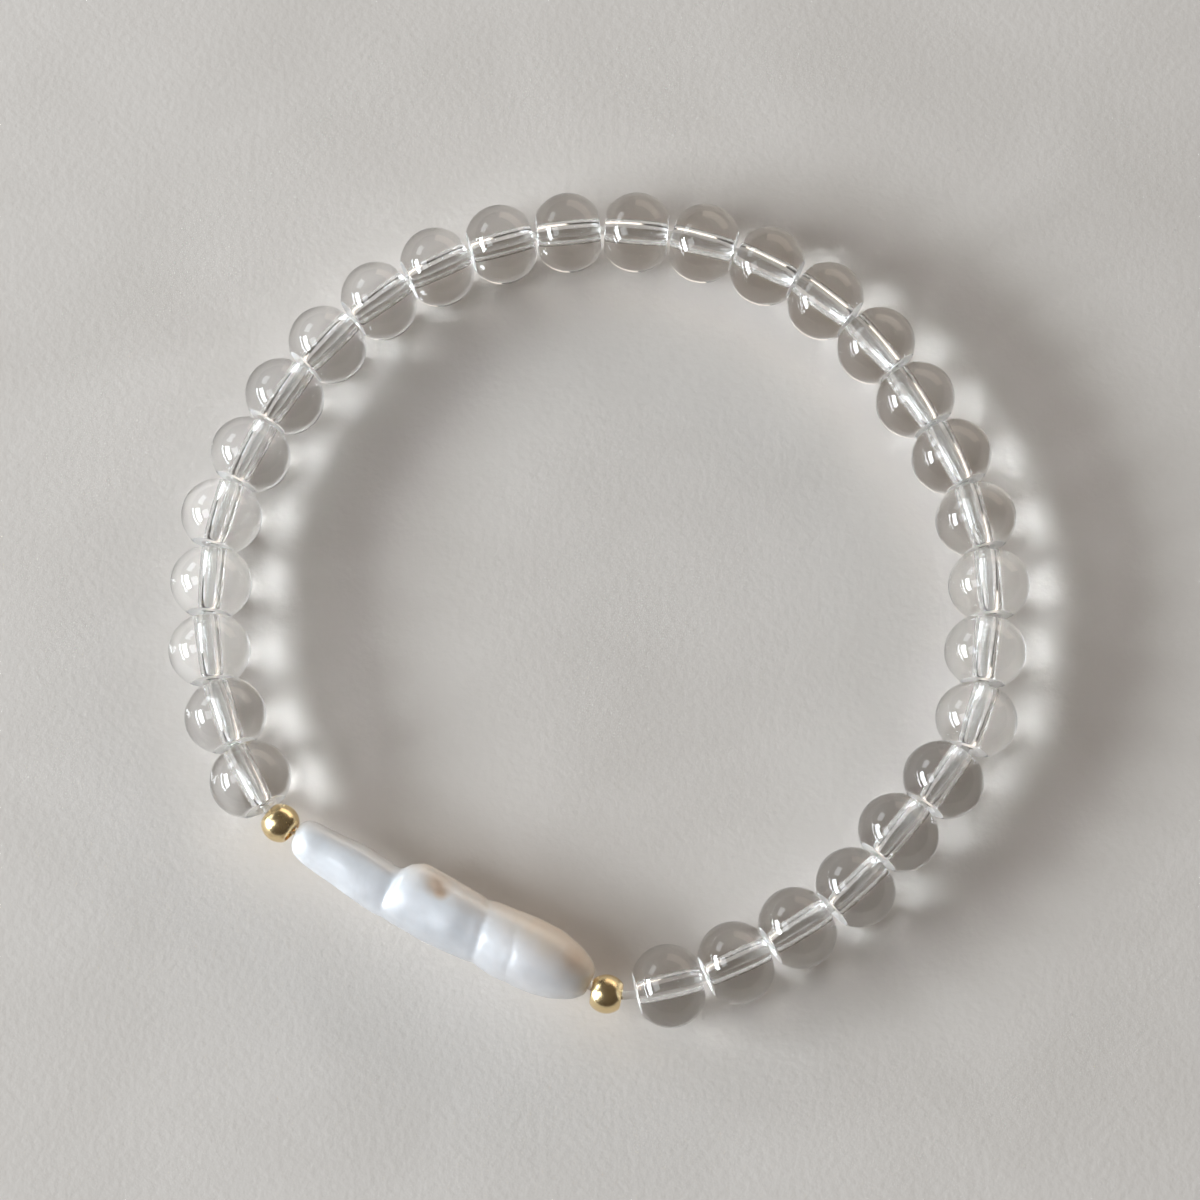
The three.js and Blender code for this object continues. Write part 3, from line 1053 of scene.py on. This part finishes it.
def add_room(sizes):
    """A plain room round the stage, brighter overhead than low down."""
    world = bpy.data.worlds.new("room")
    bpy.context.scene.world = world
    world.use_nodes = True
    nodes, links = world.node_tree.nodes, world.node_tree.links
    background = next(n for n in nodes if n.type == "BACKGROUND")
    where = nodes.new("ShaderNodeTexCoord")
    split = nodes.new("ShaderNodeSeparateXYZ")
    ramp = nodes.new("ShaderNodeValToRGB")
    low, high = ramp.color_ramp.elements
    low.position, high.position = 0.0, 0.8
    low.color, high.color = (*sizes.room_dim, 1), (*sizes.room_bright, 1)
    links.new(where.outputs["Generated"], split.inputs["Vector"])
    links.new(split.outputs["Z"], ramp.inputs["Fac"])
    links.new(ramp.outputs["Color"], background.inputs["Color"])


def add_camera(sizes):
    """A camera in front of the bracelet that looks down at its middle."""
    low, high = cad_box
    middle = (Vector(low) + Vector(high)) / 2
    data = bpy.data.cameras.new("camera")
    data.lens = sizes.lens
    data.clip_start = 0.01
    camera = bpy.data.objects.new("camera", data)
    bpy.context.scene.collection.objects.link(camera)
    rise = sizes.camera_elevation
    outward = Vector((0, -math.cos(rise), math.sin(rise)))
    camera.location = middle + outward * sizes.camera_distance
    aim(camera, middle)
    bpy.context.scene.camera = camera


def set_light_paths():
    """Light passes through many layers of crystal, and its bright spots show on the floor."""
    cycles = bpy.context.scene.cycles
    cycles.max_bounces = 20
    cycles.transmission_bounces = 20
    cycles.glossy_bounces = 10
    cycles.diffuse_bounces = 4
    cycles.caustics_refractive = True
    cycles.caustics_reflective = True
    cycles.blur_glossy = 0
    cycles.sample_clamp_indirect = 0
    cycles.use_denoising = True
    cycles.denoising_prefilter = "ACCURATE"
    view = bpy.context.scene.view_settings
    view.view_transform = "Standard"


class BRACELET_OT_stage(bpy.types.Operator):
    """Make the floor, the soft studio light and the camera"""

    bl_idname = "bracelet.stage"
    bl_label = "Stage"

    def execute(self, context):
        sizes = settings().stage
        add_floor(sizes)
        add_lights(sizes)
        add_room(sizes)
        add_camera(sizes)
        set_light_paths()
        return {"FINISHED"}


# ------------------------------------------------------------------ add-on


class BRACELET_PT_pieces(bpy.types.Panel):
    """The pieces of the bracelet, with their sizes and colours"""

    bl_label = "Beaded Bracelet"
    bl_idname = "BRACELET_PT_pieces"
    bl_space_type = "VIEW_3D"
    bl_region_type = "UI"
    bl_category = "Bracelet"

    def draw(self, context):
        sizes = context.scene.bracelet
        for operator, group in (
            (BRACELET_OT_clear_beads, sizes.beads),
            (BRACELET_OT_gold_beads, sizes.gold),
            (BRACELET_OT_stick_pearl, sizes.pearl),
            (BRACELET_OT_elastic, sizes.elastic),
            (BRACELET_OT_stage, sizes.stage),
        ):
            box = self.layout.box()
            box.operator(operator.bl_idname)
            for name in group.__annotations__:
                box.prop(group, name)


CLASSES = (
    ClearBeadSettings,
    GoldBeadSettings,
    PearlSettings,
    ElasticSettings,
    StageSettings,
    BraceletSettings,
    BRACELET_OT_clear_beads,
    BRACELET_OT_gold_beads,
    BRACELET_OT_stick_pearl,
    BRACELET_OT_elastic,
    BRACELET_OT_stage,
    BRACELET_PT_pieces,
)


def register():
    """Makes the settings, the operators and the panel known."""
    for item in CLASSES:
        bpy.utils.register_class(item)
    bpy.types.Scene.bracelet = PointerProperty(type=BraceletSettings)


def unregister():
    """Takes them away again."""
    del bpy.types.Scene.bracelet
    for item in reversed(CLASSES):
        bpy.utils.unregister_class(item)


def main():
    """Makes every piece and the stage."""
    register()
    bpy.ops.bracelet.clear_beads()
    bpy.ops.bracelet.gold_beads()
    bpy.ops.bracelet.stick_pearl()
    bpy.ops.bracelet.elastic()
    bpy.ops.bracelet.stage()


if __name__ == "__main__":
    main()
